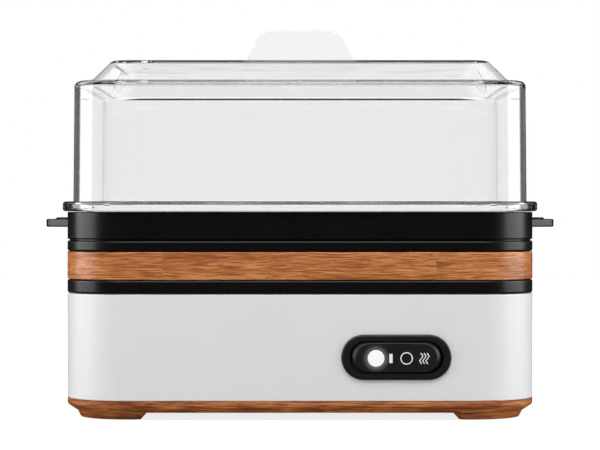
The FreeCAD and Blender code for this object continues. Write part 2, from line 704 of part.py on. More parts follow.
# ---- connectors and leads -----------------------------------------------------------------------------
def connector(flag):
    """A push-on connector at the origin: its blade slot runs along +Z, its width lies along X.

    The crimp barrel carries on along +Z, or leaves sideways along -Y on a flag connector.
    """
    sleeve = block(-3.7, 3.7, -1.4, 1.4, 0, 8)
    if flag:
        barrel, bore = lengthwise(0, 4, 1.9, -5.5, 0), lengthwise(0, 4, BARREL_BORE, -5.5, -1.4)
    else:
        barrel, bore = upright(0, 0, 1.9, 7, 12), upright(0, 0, BARREL_BORE, 8, 12)
    return fuse(sleeve, barrel).cut(block(-3.15, 3.15, -0.45, 0.45, 0, 7.6)).cut(bore)


def placed(shape, place, x_axis, z_axis):
    """The shape with its own X and Z axes turned to the given ones and its origin at the place."""
    across = Vec(*z_axis).cross(Vec(*x_axis))
    turned = FreeCAD.Matrix(
        x_axis[0], across.x, z_axis[0], place[0],
        x_axis[1], across.y, z_axis[1], place[1],
        x_axis[2], across.z, z_axis[2], place[2],
        0, 0, 0, 1,
    )
    return shape.transformed(turned)


def push_on_connectors():
    """The connectors on the switch, the thermostats and the element pins."""
    made = []
    for reach in SWITCH_BLADES.values():
        place = (SWITCH_X + reach, CASE_BACK_Y + 0.6, SWITCH_Z)
        made.append(placed(connector(False), place, (0, 0, 1), (0, 1, 0)))
    for x, y in THERMOSTATS.values():
        for blade_x in (x - BLADE_REACH, x + BLADE_REACH):
            place = (blade_x, y, THERMOSTAT_BOTTOM - 0.6)
            made.append(placed(connector(False), place, (0, 1, 0), (0, 0, -1)))
    for x in (-ELEMENT_END_X, ELEMENT_END_X):
        place = (x, ELEMENT_END_Y + 7.2, ELEMENT_Z)
        made.append(placed(connector(True), place, (-1, 0, 0), (0, 1, 0)))
    return group(made)


def splice_strands():
    """Where the three leads that share the splice cap stand in it."""
    x, y = SPLICE_AT
    spread = 1.65
    turns = {"cook": 210, "warm": 330, "element": 90}
    places = {}
    for name, turn in turns.items():
        angle = math.radians(turn)
        places[name] = (x + spread * math.cos(angle), y + spread * math.sin(angle))
    return places


def splice_cap():
    """Closed-end cap over the joint of three leads, mouth up."""
    x, y = SPLICE_AT
    top = SPLICE_BOTTOM + 13
    cap = soften(upright(x, y, 4.3, SPLICE_BOTTOM, top), 1.5, SPLICE_BOTTOM)
    return cap.cut(upright(x, y, 3.2, SPLICE_BOTTOM + 2, top))


def switch_end(name, back_y):
    """First two points of a lead that starts at a switch blade and runs straight back to back_y."""
    x = SWITCH_X + SWITCH_BLADES[name]
    return [(x, CASE_BACK_Y + 8.8, SWITCH_Z), (x, back_y, SWITCH_Z)]


def block_end(name, front_y):
    """First two points of a lead that starts in a pole of the terminal block and runs forward."""
    x = BLOCK_AT[0] + BLOCK_POLES[name]
    return [(x, BLOCK_AT[1] - 5, BLOCK_BORE_Z), (x, front_y, BLOCK_BORE_Z)]


def thermostat_end(name, side, low_z):
    """Last two points of a lead that comes straight up into a thermostat's connector."""
    x, y = THERMOSTATS[name]
    x += side * BLADE_REACH
    return [(x, y, low_z), (x, y, 37.8)]


def element_end(side, low_z):
    """Last two points of a lead that comes straight up into a connector on an element pin."""
    x, y = side * ELEMENT_END_X, ELEMENT_END_Y + 11.2
    return [(x, y, low_z), (x, y, ELEMENT_Z - 1.6)]


def splice_end(name):
    """Last two points of a lead that comes down into the splice cap."""
    x, y = splice_strands()[name]
    return [(x, y, 32), (x, y, SPLICE_BOTTOM + 2.2)]


def leads():
    """Every lead by name.  Points beside the ends keep the leads apart from each other and the heater."""
    fuse_left = [(-30, FUSE_Y, FUSE_Z), (-13.5, FUSE_Y, FUSE_Z)]
    fuse_right = [(13.5, FUSE_Y, FUSE_Z), (38, FUSE_Y, FUSE_Z)]
    board_x, board_y = BOARD_AT[0] + 14, BOARD_AT[1] + 8.5
    earth_x, earth_y = EARTH_SCREW
    return {
        "live": lead(*block_end("live", 15), (64, 2, 20), *reversed(switch_end("live", -12))),
        "cook": lead(*switch_end("cook", -20), (14, -10, 24), (-8, -1, 22), *thermostat_end("cook", 1, 25)),
        "warm": lead(*switch_end("warm", -22), (39, -8, 22), *thermostat_end("warm", 1, 25)),
        "lamp": lead(*switch_end("lamp", -24), (6, -22, 31), (-18, -24, 35),
                     (board_x, board_y, 38), (board_x, board_y, BOARD_Z + BOARD_SHEET + 3.2)),
        "cook_return": lead(*reversed(thermostat_end("cook", -1, 26)), (-17, 12, 27), *splice_end("cook")),
        "warm_return": lead(*reversed(thermostat_end("warm", -1, 26)), (12, 12, 28), *splice_end("warm")),
        "element": lead(*reversed(splice_end("element")), (-4, 38, 37), *element_end(-1, 38)),
        "fuse": lead(*fuse_right, (45, -4, 45), (38, 20, 37), (22, 42, 34), *element_end(1, 38)),
        "neutral": lead(*block_end("neutral", 12), (38, 2, 12), (14, -4, 13), (-12, -8, 12.5), (-36, -8, 18),
                        (-48, -12, 34), (-43, -18, 49), *fuse_left),
        "earth": lead(*block_end("earth", 14), (40, 8, 22), (26, 20, 33), (12, 38, 42), (1, 46, 50),
                      (earth_x, earth_y + 24, EARTH_BARREL_Z), (earth_x, earth_y + 9.2, EARTH_BARREL_Z)),
    }


# ---- egg holder and lid -------------------------------------------------------------------------------
def egg_holder():
    """Black tray with six raised egg seats, steam slots, a locating skirt and a grip at each end."""
    rim = soft_ring(BODY, HOLDER_WALL, HOLDER_BOTTOM, HOLDER_TOP, 0.6)
    deck = slab(inset(BODY, 2.0), DECK_BOTTOM, DECK_TOP)
    skirt = ring(inset(BODY, 8.6), 1.8, UPPER_RING_TOP - 2, DECK_TOP)
    seats = [upright(x, y, EGG_BORE + SEAT_WALL, SEAT_BOTTOM, SEAT_TOP) for x, y in egg_seats()]
    ribs = [block(x - 0.8, x + 0.8, -58, 58, SEAT_BOTTOM, DECK_TOP) for x in (-EGG_PITCH / 2, EGG_PITCH / 2)]
    ribs.append(block(-86, 86, -0.8, 0.8, SEAT_BOTTOM, DECK_TOP))
    holder = fuse(rim, deck, skirt, *seats, *ribs, *grips(), rest_lip())
    holder = cut_all(holder, [upright(x, y, EGG_BORE, SEAT_BOTTOM, SEAT_TOP) for x, y in egg_seats()])
    lead_in = 1.4
    for x, y in egg_seats():
        mouth = Part.makeCone(EGG_BORE, EGG_BORE + lead_in, lead_in, Vec(x, y, SEAT_TOP - lead_in))
        holder = holder.cut(mouth)
    return cut_all(holder, steam_slots())


def grips():
    """Flat end grips that narrow outwards, with two finger ridges each."""
    root_x = BODY[0] - 1.5
    outline = [(root_x, -GRIP_ROOT_DEPTH), (GRIP_END_X, -GRIP_END_DEPTH),
               (GRIP_END_X, GRIP_END_DEPTH), (root_x, GRIP_ROOT_DEPTH)]
    corners = [Vec(x, y, GRIP_BOTTOM) for x, y in outline]
    plate = Part.Face(Part.makePolygon(corners + corners[:1])).extrude(Vec(0, 0, GRIP_TOP - GRIP_BOTTOM))
    tips = [e for e in plate.Edges if e.BoundBox.XMin > GRIP_END_X - NEAR and e.BoundBox.ZLength > 1]
    plate = plate.makeFillet(6.0, tips)
    free = [e for e in plate.Edges if e.BoundBox.ZLength < NEAR and e.BoundBox.XMax > BODY[0] + 5]
    plate = plate.makeFillet(0.6, free)
    ridge_end = GRIP_END_DEPTH - 3
    ridges = [lengthwise(x, GRIP_TOP - 0.1, RIDGE_RADIUS, -ridge_end, ridge_end) for x in RIDGE_X]
    grip = fuse(plate, *ridges)
    return [grip, grip.mirror(Vec(0, 0, 0), Vec(1, 0, 0))]


def rest_lip():
    """Narrow lip under the rim that stands on the upper trim ring and closes the gap to it."""
    return ring(inset(BODY, 0.9), 1.6, UPPER_RING_TOP + 0.1, HOLDER_BOTTOM + 0.8)


def rounded_slot(x, y, half_x, half_y, corner):
    """A cutter through the deck."""
    wire = corner_wire((x - half_x, y - half_y), (x + half_x, y + half_y), [corner] * 4, DECK_BOTTOM - 1)
    return Part.Face(wire).extrude(Vec(0, 0, DECK_TOP - DECK_BOTTOM + 2))


def steam_slots():
    """Openings in the deck: long ones at its edges and small round ones where four seats meet."""
    made = [rounded_slot(87 * side, 13 * end, 1.8, 9, 1.7) for side in (-1, 1) for end in (-1, 1)]
    for x in (-EGG_PITCH / 2, EGG_PITCH / 2):
        for sign in (-1, 1):
            made.append(rounded_slot(x, 54 * sign, 9, 2.5, 2.4))
            for side in (-1, 1):
                made.append(upright(x + side * 4.6, sign * 4.6, 3.0, SEAT_BOTTOM, DECK_TOP))
    return made


def lid_tab():
    """Upright grip on the roof: sloping sides, round shoulders, flat top."""
    low = ROOF_Z - 1.0
    top_half = TAB_BASE_HALF - (TAB_TOP - ROOF_Z) * math.tan(TAB_SLOPE)
    turn = math.pi / 2 - TAB_SLOPE
    reach = TAB_SHOULDER * math.tan(turn / 2)
    side_x = top_half + reach * math.sin(TAB_SLOPE)
    side_z = TAB_TOP - reach * math.cos(TAB_SLOPE)
    flat_x = top_half - reach
    middle_angle = math.pi / 2 - turn / 2
    middle_x = flat_x + TAB_SHOULDER * math.cos(middle_angle)
    middle_z = TAB_TOP - TAB_SHOULDER + TAB_SHOULDER * math.sin(middle_angle)
    foot_x = TAB_BASE_HALF + (ROOF_Z - low) * math.tan(TAB_SLOPE)
    y = -TAB_THICKNESS / 2
    face = Part.Wire([
        Part.makeLine(Vec(-foot_x, y, low), Vec(foot_x, y, low)),
        Part.makeLine(Vec(foot_x, y, low), Vec(side_x, y, side_z)),
        Part.Arc(Vec(side_x, y, side_z), Vec(middle_x, y, middle_z), Vec(flat_x, y, TAB_TOP)).toShape(),
        Part.makeLine(Vec(flat_x, y, TAB_TOP), Vec(-flat_x, y, TAB_TOP)),
        Part.Arc(Vec(-flat_x, y, TAB_TOP), Vec(-middle_x, y, middle_z), Vec(-side_x, y, side_z)).toShape(),
        Part.makeLine(Vec(-side_x, y, side_z), Vec(-foot_x, y, low)),
    ])
    tab = Part.Face(face).extrude(Vec(0, TAB_THICKNESS, 0))
    rims = [e for e in tab.Edges if e.BoundBox.YLength < NEAR and e.BoundBox.ZMax > low + NEAR]
    return tab.makeFillet(0.5, rims)


def locating_ribs():
    """Ribs under the lid's walls that drop inside the egg holder's rim."""
    low, high, width, half_length = LID_BOTTOM - 2.4, LID_BOTTOM + 1, 1.8, 15.0
    outer_x, outer_y = LID_FOOT[0] - 0.1, LID_FOOT[1] - 0.1
    made = []
    for x in (-50, 50):
        for y in (-outer_y, outer_y - width):
            made.append(block(x - half_length, x + half_length, y, y + width, low, high))
    for x in (-outer_x, outer_x - width):
        made.append(block(x, x + width, -half_length, half_length, low, high))
    return made


def lid():
    """Clear lid: walls with a slight draft, a raised roof, a thick rim, locating ribs, vents and a tab."""
    outer = fuse(
        soften(taper(LID_FOOT, LID_BOTTOM, LID_SHOULDER, SHOULDER_Z), 2.4, SHOULDER_Z),
        soften(taper(ROOF_FOOT, SHOULDER_Z, ROOF_TOP, ROOF_Z), 3.0, ROOF_Z),
        soften(slab(LID_FLANGE, LID_BOTTOM, FLANGE_TOP), 1.2, LID_BOTTOM, FLANGE_TOP),
    )
    slope_inset = LID_WALL * (math.sqrt(2) - 1)
    ceiling, roof_ceiling = SHOULDER_Z - LID_WALL, ROOF_Z - LID_WALL
    inner_foot, inner_shoulder = inset(LID_FOOT, LID_WALL), inset(LID_SHOULDER, LID_WALL)
    hollow = fuse(
        soften(taper(inner_foot, LID_BOTTOM, inner_shoulder, ceiling), 0.8, ceiling),
        soften(taper(inset(ROOF_FOOT, slope_inset), ceiling, inset(ROOF_TOP, slope_inset), roof_ceiling),
               1.5, roof_ceiling),
    )
    shell = fuse(outer.cut(hollow), *locating_ribs(), lid_tab())
    return cut_all(shell, [upright(x, y, STEAM_HOLE_RADIUS, SHOULDER_Z, ROOF_Z) for x, y in STEAM_HOLES])


# ---- export -------------------------------------------------------------------------------------------
SUB_PARTS = [
    base_cover, base_screws, housing, chassis, lower_trim_ring, wood_band, upper_trim_ring, heating_tray,
    tray_seal, heat_spreader, spreader_screws, heating_element, element_bushes, element_pins,
    thermostat_plates, thermostat_blades, thermal_fuse, fuse_crimps, fuse_clip, earth_tag, control_board,
    board_screws, board_components, buzzer, terminal_block, terminal_screws, cord_gland, gland_nut,
    switch_bezel, rocker_pin, switch_rocker, indicator_lens, switch_body, switch_lamp, switch_blades,
    push_on_connectors, splice_cap, egg_holder, lid,
]
PAD_NAMES = ["back_right", "back_left", "front_left", "front_right"]


def main():
    os.makedirs("parts", exist_ok=True)
    made = {build.__name__: build() for build in SUB_PARTS}
    for name, (x, y) in THERMOSTATS.items():
        made["thermostat_" + name] = thermostat(x, y)
    for name, tube in leads().items():
        made["lead_" + name] = tube
    for name, pad in zip(PAD_NAMES, foot_pads()):
        made["foot_pad_" + name] = pad
    for name, shape in made.items():
        shape.exportStep(os.path.join("parts", name + ".step"))
        good = shape.isValid() and all(solid.isValid() and solid.Volume > 0 for solid in shape.Solids)
        state = "ok" if good and shape.Solids else "BAD"
        print(f"{name:24s} {len(shape.Solids):2d} solids {shape.Volume / 1000:8.2f} cm3  {state}")


main()
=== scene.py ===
"""Builds the looks of a six-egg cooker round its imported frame, in metres.

+X is to the right, +Y to the back, +Z up, and the origin is on the table under the middle of the body.
The band and the two trim rings are swept round the body by Geometry Nodes, which draw the switch's marks
too.  The pieces that stay as they are packed get their finishes here.
"""

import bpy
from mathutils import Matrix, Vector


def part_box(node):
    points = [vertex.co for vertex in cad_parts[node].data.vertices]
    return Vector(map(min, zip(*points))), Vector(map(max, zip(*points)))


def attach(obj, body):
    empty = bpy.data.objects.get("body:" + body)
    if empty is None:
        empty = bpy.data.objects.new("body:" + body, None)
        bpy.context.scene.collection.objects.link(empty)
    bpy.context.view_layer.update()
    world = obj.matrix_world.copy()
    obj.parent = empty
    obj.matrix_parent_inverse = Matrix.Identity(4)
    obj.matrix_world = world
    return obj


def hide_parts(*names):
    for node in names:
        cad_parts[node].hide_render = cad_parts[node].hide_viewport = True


bl_info = {
    "name": "Egg Cooker",
    "version": (1, 0, 0),
    "blender": (4, 5, 0),
    "location": "3D View > Sidebar > Egg Cooker",
    "description": "Builds the rings, switch marks, finishes and studio of an egg cooker",
    "category": "Object",
}

import math

import bmesh
import bpy
from bpy.props import FloatProperty, FloatVectorProperty, IntProperty, PointerProperty
from mathutils import Vector
from mathutils.bvhtree import BVHTree

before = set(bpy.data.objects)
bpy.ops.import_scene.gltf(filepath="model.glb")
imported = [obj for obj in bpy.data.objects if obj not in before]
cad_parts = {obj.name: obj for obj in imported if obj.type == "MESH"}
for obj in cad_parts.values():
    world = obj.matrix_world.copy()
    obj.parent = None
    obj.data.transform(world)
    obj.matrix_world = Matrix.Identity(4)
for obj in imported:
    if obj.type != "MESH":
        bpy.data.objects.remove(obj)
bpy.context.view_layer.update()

MM = 0.001
QUARTER_TURN = math.pi / 2
STAVE = 0.118                # length of a stave of the band
FIRST_STAVE = 0.086          # what the first stave, at the back right corner, has lost of its length
ARC_STEP = math.radians(12)  # largest turn between two points of a rounded edge
HOLD = 0.12 * MM             # from a rounded edge to the point that holds the flat beside it
RING_GAP = 0.2 * MM          # between a trim ring and the piece under it
SPIGOT_GAP = 0.3 * MM        # from the inside of the band to the outside of the rings' spigots
BAR_PLACE = -2.35 * MM       # of the printed marks, to the right of the switch's middle
RING_PLACE = 4.4 * MM
HEAT_PLACE = 12.0 * MM
WAVE = ((-0.2, 2.3), (0.75, 1.05), (-0.7, -1.05), (0.1, -2.3))    # right and up, in millimetres
PAINTED_GLOW = 0.11                  # brightness of the painted glow: emission painted on the rocker next to its lamp, in place of the lamp's light on it
PAINTED_GLOW_START = 3.2 * MM        # from the middle of its lens
PAINTED_GLOW_END = 6.6 * MM


def low(node):
    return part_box(node)[0]


def high(node):
    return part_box(node)[1]


def middle_of(node):
    return (low(node) + high(node)) / 2


# ---- what a user may change -------------------------------------------------------------------------
def length(name, description, default):
    """A size in metres."""
    return FloatProperty(name=name, description=description, default=default, unit="LENGTH", precision=5)


def amount(name, description, default):
    return FloatProperty(name=name, description=description, default=default, min=0.0)


def tint(name, description, default):
    return FloatVectorProperty(name=name, description=description, default=default, size=3,
                               subtype="COLOR", min=0.0, max=1.0)


class EggCookerBody(bpy.types.PropertyGroup):
    """Outline and sections of the pieces that go round the body."""
    half_width: length("Half Width", "From the middle to a side", high("wood_band").x)
    half_depth: length("Half Depth", "From the middle to the front or back", high("wood_band").y)
    corner: length("Corner Radius", "Outline radius at the four upright corners", 27 * MM)
    corner_steps: IntProperty(name="Corner Steps", description="Faces round a corner", default=28, min=4)
    band_wall: length("Band Wall", "Thickness of the wood-look band", 2.3 * MM)
    ring_reach: length("Ring Reach", "How far the trim rings reach in from the outline", 4.3 * MM)
    ring_round: length("Ring Edge", "Edge radius of the trim rings", 0.8 * MM)
    band_round: length("Band Edge", "Edge radius of the band", 0.35 * MM)


class EggCookerSwitch(bpy.types.PropertyGroup):
    """Printed marks on the rocker."""
    stroke: length("Stroke", "Width of the thin printed strokes", 0.46 * MM)
    bar_width: length("Bar Width", "Width of the upright bar", 1.45 * MM)
    bar_height: length("Bar Height", "Height of the upright bar", 3.9 * MM)
    ring_radius: length("Ring Radius", "Radius of the round mark", 2.45 * MM)
    wave_pitch: length("Wave Pitch", "Distance between two heat waves", 1.35 * MM)
    wave_count: IntProperty(name="Waves", description="Number of heat waves", default=3, min=1)
    print_thickness: length("Print Thickness", "Thickness of the printed marks", 0.06 * MM)


class EggCookerColours(bpy.types.PropertyGroup):
    """Base colours of the finishes."""
    white: tint("White Shell", "Moulded housing", (0.80, 0.80, 0.80))
    black: tint("Black Trim", "Trim rings and egg holder", (0.0030, 0.0030, 0.0032))
    switch_black: tint("Switch Black", "Bezel and rocker", (0.0092, 0.0092, 0.0095))
    band_dark: tint("Band Grain", "Dark grain of the band", (0.27, 0.080, 0.022))
    band_middle: tint("Band", "Ground colour of the band", (0.49, 0.158, 0.045))
    band_light: tint("Band Streak", "Light streaks of the band", (0.70, 0.30, 0.105))
    base_dark: tint("Base Grain", "Dark grain of the base", (0.19, 0.054, 0.014))
    base_middle: tint("Base", "Ground colour of the base", (0.42, 0.122, 0.028))
    base_light: tint("Base Streak", "Light streaks of the base", (0.68, 0.26, 0.08))
    print_white: tint("Print", "Marks and lamp lens", (0.90, 0.90, 0.90))


class EggCookerStudio(bpy.types.PropertyGroup):
    """Camera and lights."""
    camera_distance: length("Camera Distance", "From the middle of the body to the camera", 0.972)
    camera_height: length("Camera Height", "Height of the camera over the table", 0.0898)
    lens: FloatProperty(name="Lens", description="Focal length in millimetres", default=125.3, min=1.0)
    shift: FloatProperty(name="Shift", description="Upward shift of the view", default=-0.02)
    key_power: FloatProperty(name="Key Power", description="Softbox over the front", default=18.4,
                             unit="POWER")
    side_power: FloatProperty(name="Side Power", description="Softbox at each side", default=11.7,
                              unit="POWER")
    backdrop: amount("Backdrop", "Brightness of the white backdrop", 1.0)
    room: amount("Room", "Brightness of the dim room at eye level", 0.02)
    ceiling: amount("Ceiling", "Brightness of the room overhead", 0.42)
    through: amount("Through", "Brightness of the room as seen through the lid's edges", 0.14)
    overhead: amount("Overhead", "Brightness of the ceiling as seen through the lid's edges", 0.70)


# ---- node trees -------------------------------------------------------------------------------------
class Nodes:
    """A node tree that is built step by step."""

    def __init__(self, tree):
        self.tree = tree

    def add(self, kind, inputs=None, **options):
        """A new node.  An input is given a value or another node's output."""
        node = self.tree.nodes.new(kind)
        for option, value in options.items():
            setattr(node, option, value)
        for socket, value in (inputs or {}).items():
            if isinstance(value, bpy.types.NodeSocket):
                self.tree.links.new(value, node.inputs[socket])
            else:
                node.inputs[socket].default_value = value
        return node

    def reckon(self, operation, first, second):
        """What a Math node makes of two numbers or outputs."""
        return self.add("ShaderNodeMath", {0: first, 1: second}, operation=operation).outputs[0]

    def span(self, value, low_in, high_in, low_out, high_out, **options):
        """A number taken from one range to another."""
        made = self.add("ShaderNodeMapRange", {
            "Value": value, "From Min": low_in, "From Max": high_in, "To Min": low_out, "To Max": high_out},
            **options)
        return made.outputs[0]


class Shape(Nodes):
    """A Geometry Nodes tree with named inputs."""

    def __init__(self, name, **inputs):
        super().__init__(bpy.data.node_groups.new(name, "GeometryNodeTree"))
        sockets = self.tree.interface
        sockets.new_socket("Geometry", in_out="OUTPUT", socket_type="NodeSocketGeometry")
        for label, kind in inputs.items():
            sockets.new_socket(label, in_out="INPUT", socket_type="NodeSocket" + kind)
        self.given = self.add("NodeGroupInput").outputs

    def end(self, geometry):
        """Closes the tree: instances are made real and everything gets the material."""
        real = self.add("GeometryNodeRealizeInstances", {"Geometry": geometry})
        painted = self.add("GeometryNodeSetMaterial",
                           {"Geometry": real.outputs[0], "Material": self.given["Material"]})
        self.add("NodeGroupOutput", {"Geometry": painted.outputs[0]})

    def grow(self, name, **values):
        """A plain mesh object made by the tree from these input values."""
        piece = bpy.data.objects.new(name, bpy.data.meshes.new(name))
        bpy.context.scene.collection.objects.link(piece)
        modifier = piece.modifiers.new(self.tree.name, "NODES")
        modifier.node_group = self.tree
        for item in self.tree.interface.items_tree:
            if item.in_out == "INPUT":
                modifier[item.identifier] = values[item.name]
        evaluated = piece.evaluated_get(bpy.context.evaluated_depsgraph_get())
        mesh = bpy.data.meshes.new_from_object(evaluated)
        piece.modifiers.remove(modifier)
        piece.data = mesh
        mesh.name = name
        return piece


def sweep_tree():
    """A closed section swept round the rounded rectangle of the body.

    The section's X is outwards from the outline and its Y is down.  Every point keeps how far round the
    outline it is.
    """
    shape = Shape("round_the_body", Section="Object", Width="Float", Depth="Float", Corner="Float",
                  Steps="Int", Material="Material")
    given = shape.given
    outline = shape.add("GeometryNodeCurvePrimitiveQuadrilateral",
                        {"Width": given["Width"], "Height": given["Depth"]})
    rounded = shape.add("GeometryNodeFilletCurve", {
        "Curve": outline.outputs[0], "Radius": given["Corner"], "Count": given["Steps"]}, mode="POLY")
    level = shape.add("GeometryNodeSetCurveNormal", {"Curve": rounded.outputs[0]}, mode="Z_UP")
    along = shape.add("GeometryNodeSplineParameter")
    marked = shape.add("GeometryNodeStoreNamedAttribute", {
        "Geometry": level.outputs[0], "Name": "run", "Value": along.outputs["Length"]},
        data_type="FLOAT", domain="POINT")
    section = shape.add("GeometryNodeObjectInfo", {"Object": given["Section"]})
    swept = shape.add("GeometryNodeCurveToMesh", {
        "Curve": marked.outputs[0], "Profile Curve": section.outputs["Geometry"]})
    smooth = shape.add("GeometryNodeSetShadeSmooth", {"Geometry": swept.outputs[0]})
    shape.end(smooth.outputs[0])
    return shape


def marks_tree():
    """Flat strokes along a path, repeated to the right."""
    shape = Shape("printed_strokes", Path="Object", Count="Int", Pitch="Vector", Stroke="Float",
                  Thickness="Float", Material="Material")
    given = shape.given
    path = shape.add("GeometryNodeObjectInfo", {"Object": given["Path"]})
    places = shape.add("GeometryNodeMeshLine", {"Count": given["Count"], "Offset": given["Pitch"]})
    copies = shape.add("GeometryNodeInstanceOnPoints", {
        "Points": places.outputs[0], "Instance": path.outputs["Geometry"]})
    paths = shape.add("GeometryNodeRealizeInstances", {"Geometry": copies.outputs[0]})
    level = shape.add("GeometryNodeSetCurveNormal", {"Curve": paths.outputs[0]}, mode="Z_UP")
    section = shape.add("GeometryNodeCurvePrimitiveQuadrilateral",
                        {"Width": given["Stroke"], "Height": given["Thickness"]})
    strokes = shape.add("GeometryNodeCurveToMesh", {
        "Curve": level.outputs[0], "Profile Curve": section.outputs[0], "Fill Caps": True})
    shape.end(strokes.outputs[0])
    return shape


# ---- meshes -----------------------------------------------------------------------------------------
def polyline(name, points, closed):
    """A curve object through the points, in the flat, for a tree to read."""
    curve = bpy.data.curves.new(name, "CURVE")
    curve.dimensions = "3D"
    spline = curve.splines.new("POLY")
    spline.points.add(len(points) - 1)
    for target, (x, y) in zip(spline.points, points):
        target.co = (x, y, 0, 1)
    spline.use_cyclic_u = closed
    made = bpy.data.objects.new(name, curve)
    bpy.context.scene.collection.objects.link(made)
    return made


def rounded(corners):
    """The corners of a closed section joined with round edges.

    A corner is its place in the section and its edge radius.  Two holding points on each straight side
    keep the flats flat when smooth.
    """
    points = []
    for i, (x, y, radius) in enumerate(corners):
        before, after = Vector(corners[i - 1][:2]), Vector(corners[(i + 1) % len(corners)][:2])
        middle = Vector((x, y))
        back, ahead = before - middle, after - middle
        between = back.angle(ahead)
        reach = radius / math.tan(between / 2)
        start = middle + back * (reach / back.length)
        end = middle + ahead * (reach / ahead.length)
        chord = (start + end) / 2
        outward = (middle - chord).normalized()
        half = (math.pi - between) / 2
        top = radius * (1 - math.cos(half))
        steps = max(2, math.ceil(2 * half / ARC_STEP))
        if back.length > reach + 4 * HOLD:
            points.append(tuple(middle + back * ((reach + HOLD) / back.length)))
        for step in range(steps + 1):
            angle = (2 * (step / steps) - 1) * half
            # on the arc, the place is a mix of its two ends and the corner between them
            lean = (math.cos(angle) - math.cos(half)) / (1 - math.cos(half))
            sideways = math.sin(angle) / math.sin(half)
            place = chord + (end - start) * (sideways / 2)
            points.append(tuple(place + outward * (top * lean)))
        if ahead.length > reach + 4 * HOLD:
            points.append(tuple(middle + ahead * ((reach + HOLD) / ahead.length)))
    return points


def outwards(piece):
    """Merges a swept mesh's doubles and turns its faces outwards."""
    form = bmesh.new()
    form.from_mesh(piece.data)
    bmesh.ops.remove_doubles(form, verts=form.verts, dist=1e-7)
    bmesh.ops.recalc_face_normals(form, faces=form.faces)
    form.to_mesh(piece.data)
    form.free()


def unroll(piece, total):
    """A UV map in metres: how far round the body, and the height."""
    mesh = piece.data
    run = mesh.attributes["run"].data
    layer = mesh.uv_layers.new(name="wrap")
    for face in mesh.polygons:
        along = [run[v].value for v in face.vertices]
        wraps = max(along) - min(along) > total / 2
        for loop, vertex, u in zip(face.loop_indices, face.vertices, along):
            if wraps and u < total / 2:
                u += total
            layer.data[loop].uv = (u, mesh.vertices[vertex].co.z)


def finish_piece(piece, body, slot_name, *nodes):
    """Puts a finished piece on its body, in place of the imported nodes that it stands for."""
    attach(piece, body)
    if nodes:
        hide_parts(*nodes)


# ---- finishes ---------------------------------------------------------------------------------------
class Finish(Nodes):
    """A material with one shader, whose patterns follow the piece's own coordinates."""

    def __init__(self, name, **sockets):
        self.material = bpy.data.materials.new(name)
        self.material.use_nodes = True
        super().__init__(self.material.node_tree)
        self.shader = self.tree.nodes["Principled BSDF"]
        self.place = self.add("ShaderNodeTexCoord").outputs["Object"]
        for socket, value in sockets.items():
            self.shader.inputs[socket.replace("_", " ")].default_value = value

    def feed(self, socket, output):
        self.tree.links.new(output, self.shader.inputs[socket])

    def noise(self, scale, detail=2.0, stretch=(1, 1, 1), roughness=0.5, vector=None):
        """Noise whose scale is in waves per metre."""
        moved = self.add("ShaderNodeMapping", {"Vector": vector or self.place, "Scale": stretch})
        made = self.add("ShaderNodeTexNoise", {
            "Vector": moved.outputs[0], "Scale": scale, "Detail": detail, "Roughness": roughness})
        return made.outputs["Fac"]

    def ramp(self, value, *stops):
        """A colour ramp from (place, colour) stops."""
        node = self.add("ShaderNodeValToRGB", {"Fac": value})
        elements = node.color_ramp.elements
        while len(elements) < len(stops):
            elements.new(0.5)
        for element, (place, colour) in zip(elements, stops):
            element.position = place
            element.color = (*colour, 1)
        return node.outputs[0]

    def tinted(self, share, output, colour):
        """The output, mixed with this share of the colour."""
        mixed = self.add("ShaderNodeMix", {"Factor": share, 6: output, 7: (*colour, 1)}, data_type="RGBA")
        return mixed.outputs[2]

    def bump(self, height, depth, normal=None):
        """Relief of this depth in metres."""
        made = self.add("ShaderNodeBump", {"Height": height, "Strength": 1.0, "Distance": depth})
        if normal is not None:
            self.tree.links.new(normal, made.inputs["Normal"])
        return made.outputs[0]


def shade(colour, factor):
    return tuple(min(1.0, channel * factor) for channel in colour)


def moulded(name, colour, roughness, grain=1600.0, depth=0.000012, uneven=0.05, mottle=0.04, **sockets):
    """Moulded plastic: a fine spark-eroded grain over slow changes of gloss and tone."""
    finish = Finish(name, **sockets)
    deep, pale = shade(colour, 1 - mottle), shade(colour, 1 + mottle)
    finish.feed("Base Color", finish.ramp(finish.noise(18.0, 3.0), (0.3, deep), (0.7, pale)))
    worn = finish.noise(55.0, 5.0, roughness=0.65)
    finish.feed("Roughness", finish.span(worn, 0.3, 0.7, roughness - uneven, roughness + uneven))
    finish.feed("Normal", finish.bump(finish.noise(grain, 2.0), depth))
    return finish.material


